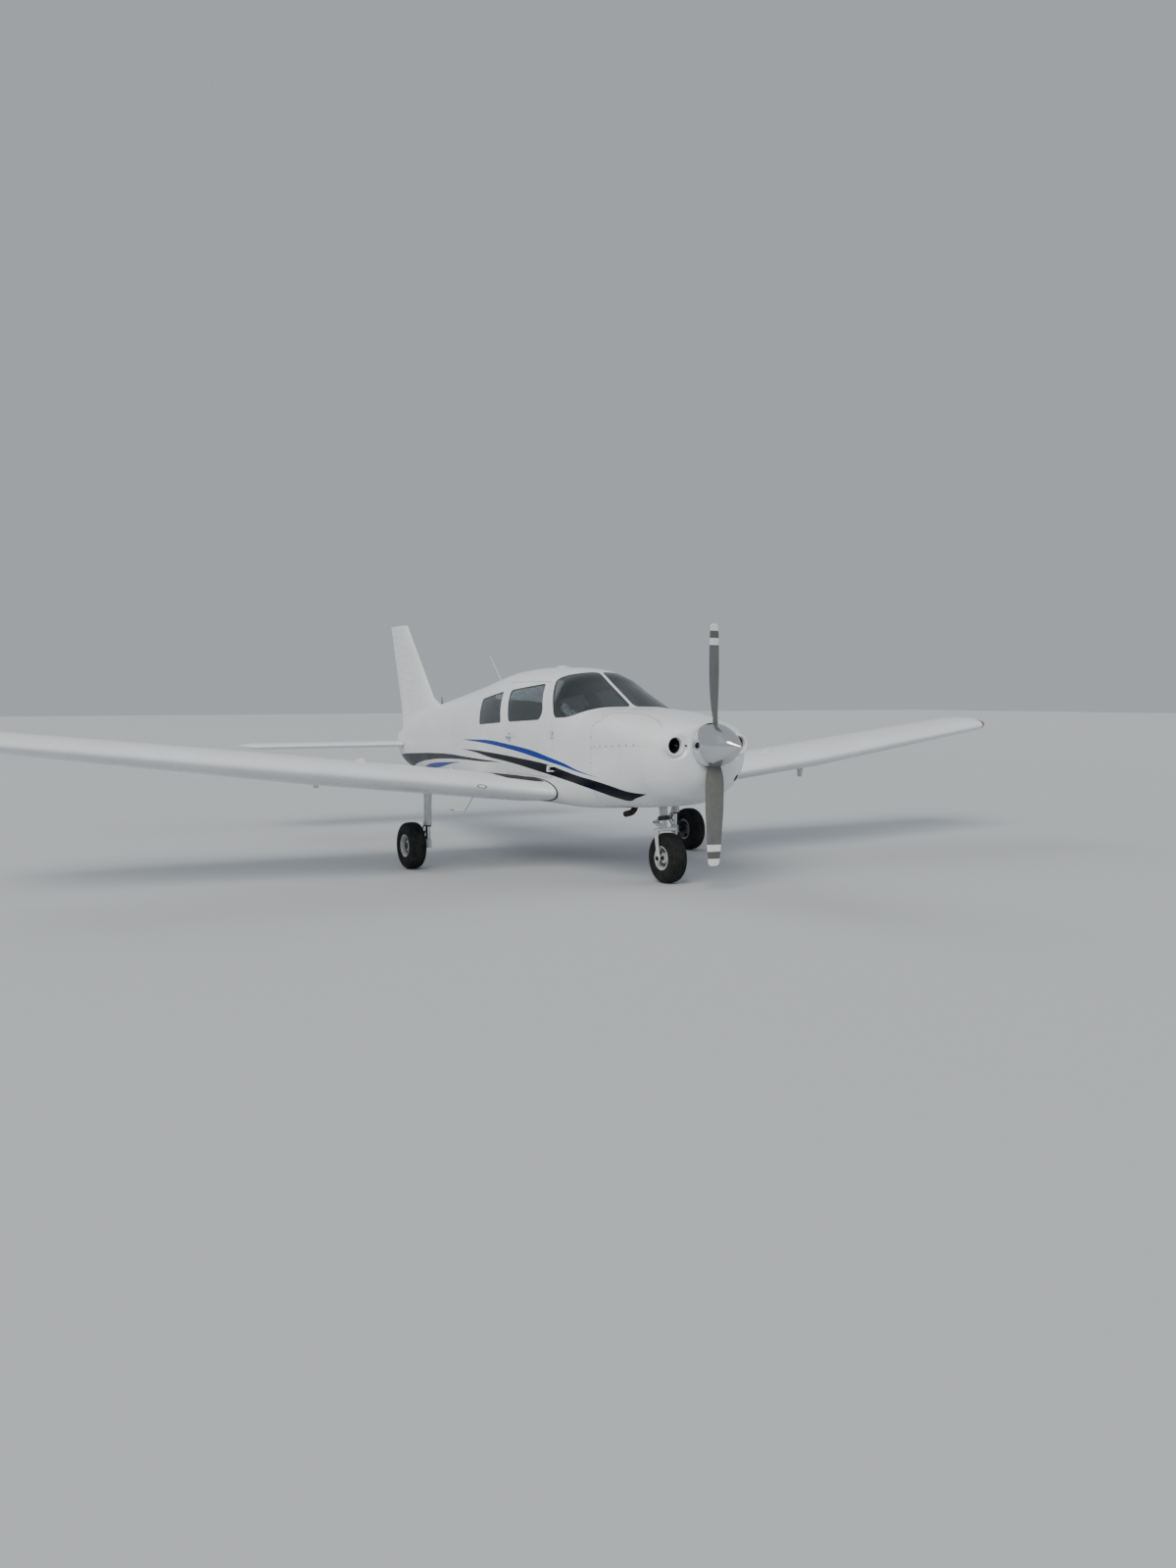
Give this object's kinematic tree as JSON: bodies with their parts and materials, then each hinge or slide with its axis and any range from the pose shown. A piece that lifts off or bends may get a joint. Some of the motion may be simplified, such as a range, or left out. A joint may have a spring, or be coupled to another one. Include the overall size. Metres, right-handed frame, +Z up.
{
  "type": "light aircraft",
  "caption": "Low-wing piston aircraft with fixed three-wheel gear, cabin door, turning propeller, steered nose wheel and hinged flight controls.",
  "frame": {"origin": "on the ground, at the middle of the overall length and width", "axes": "+X to the nose, +Y to the left wing tip, +Z up; the wheels stand on z = 0"},
  "size_m": [7.315, 10.82, 2.416],
  "materials": {
    "white_skin": "gloss white enamel over riveted aluminium sheet, with navy and blue stripes",
    "window": "clear tinted window plastic, treated as glass",
    "engine_metal": "cast and machined metal",
    "propeller_grey": "grey paint with white tip bands",
    "polished_metal": "mirror-polished spun aluminium",
    "tyre_rubber": "black tyre rubber",
    "wheel_metal": "cast wheel halves, light grey paint",
    "gear_paint": "light grey gloss enamel on steel",
    "seat_fabric": "woven seat cloth",
    "black_plastic": "matt black",
    "exhaust_steel": "heat-stained steel pipe",
    "antenna_plastic": "white moulded plastic"
  },
  "bodies": {
    "airframe": {"cabin_shell": "white_skin", "front_window_left": "window", "rear_window_left": "window", "rear_window_right": "window", "windshield_left": "window", "windshield_right": "window", "tail_cone": "white_skin", "upper_cowl": "white_skin", "lower_cowl": "white_skin", "engine_block": "engine_metal", "wing_left": "white_skin", "wing_right": "white_skin", "fin": "white_skin", "main_leg_left": "gear_paint", "main_leg_right": "gear_paint", "nose_leg": "gear_paint", "front_seat_left": "seat_fabric", "front_seat_right": "seat_fabric", "rear_bench": "seat_fabric", "instrument_panel": "black_plastic", "exhaust_pipe": "exhaust_steel", "boarding_step": "gear_paint", "whip_antenna": "antenna_plastic", "stub_antenna": "black_plastic", "roof_antenna": "antenna_plastic"},
    "cabin_door": {"door": "white_skin", "door_window": "window"},
    "propeller_unit": {"propeller": "propeller_grey", "spinner": "polished_metal"},
    "nose_fork_unit": {"nose_fork": "gear_paint"},
    "nose_wheel": {"nose_tyre": "tyre_rubber", "nose_rim": "wheel_metal"},
    "main_wheel_left": {"main_left_tyre": "tyre_rubber", "main_left_rim": "wheel_metal"},
    "main_wheel_right": {"main_right_tyre": "tyre_rubber", "main_right_rim": "wheel_metal"},
    "flap_left_unit": {"flap_left": "white_skin"},
    "flap_right_unit": {"flap_right": "white_skin"},
    "aileron_left_unit": {"aileron_left": "white_skin"},
    "aileron_right_unit": {"aileron_right": "white_skin"},
    "rudder_unit": {"rudder": "white_skin"},
    "stabilator_unit": {"stabilator": "white_skin", "trim_tab": "white_skin"}
  },
  "joints": [
    {"name": "door_hinge", "type": "hinge", "parent": "airframe", "child": "cabin_door", "pos_m": [1.648, -0.592, 1.24], "axis": [0, 0.0885, 0.9961], "range_deg": [0, 78]},
    {"name": "propeller_shaft", "type": "hinge", "parent": "airframe", "child": "propeller_unit", "pos_m": [3.295, 0, 1.184], "axis": [1, 0, 0], "continuous": true},
    {"name": "nose_steering", "type": "hinge", "parent": "airframe", "child": "nose_fork_unit", "pos_m": [2.58, 0, 0.5], "axis": [-0.1736, 0, 0.9848], "range_deg": [-30, 30]},
    {"name": "nose_axle", "type": "hinge", "parent": "nose_fork_unit", "child": "nose_wheel", "pos_m": [2.63, 0, 0.21315], "axis": [0, 1, 0], "continuous": true},
    {"name": "main_axle_left", "type": "hinge", "parent": "airframe", "child": "main_wheel_left", "pos_m": [0.692, 1.525, 0.21315], "axis": [0, 1, 0], "continuous": true},
    {"name": "main_axle_right", "type": "hinge", "parent": "airframe", "child": "main_wheel_right", "pos_m": [0.692, -1.525, 0.21315], "axis": [0, 1, 0], "continuous": true},
    {"name": "flap_hinge_left", "type": "hinge", "parent": "airframe", "child": "flap_left_unit", "pos_m": [0.1736, 0.69, 0.67604], "axis": [0.0074, 0.9936, 0.1123], "range_deg": [-40, 0]},
    {"name": "flap_hinge_right", "type": "hinge", "parent": "airframe", "child": "flap_right_unit", "pos_m": [0.1736, -0.69, 0.67604], "axis": [-0.0074, 0.9936, -0.1123], "range_deg": [-40, 0]},
    {"name": "aileron_hinge_left", "type": "hinge", "parent": "airframe", "child": "aileron_left_unit", "pos_m": [0.16039, 2.76, 0.90801], "axis": [0.0039, 0.9917, 0.1284], "range_deg": [-12.5, 25]},
    {"name": "aileron_hinge_right", "type": "hinge", "parent": "airframe", "child": "aileron_right_unit", "pos_m": [0.16039, -2.76, 0.90801], "axis": [-0.0039, 0.9917, -0.1284], "range_deg": [-12.5, 25]},
    {"name": "rudder_hinge", "type": "hinge", "parent": "airframe", "child": "rudder_unit", "pos_m": [-3.107, 0, 1.168], "axis": [-0.198, 0, 0.9802], "range_deg": [-27, 27]},
    {"name": "stabilator_pivot", "type": "hinge", "parent": "airframe", "child": "stabilator_unit", "pos_m": [-3.108, 0, 0.99], "axis": [0, 1, 0], "range_deg": [-2, 14]}
  ],
  "couplings": [
    {"joint": "flap_hinge_right", "follows": "flap_hinge_left", "ratio": 1},
    {"joint": "nose_steering", "follows": "rudder_hinge", "ratio": -1.1111}
  ]
}
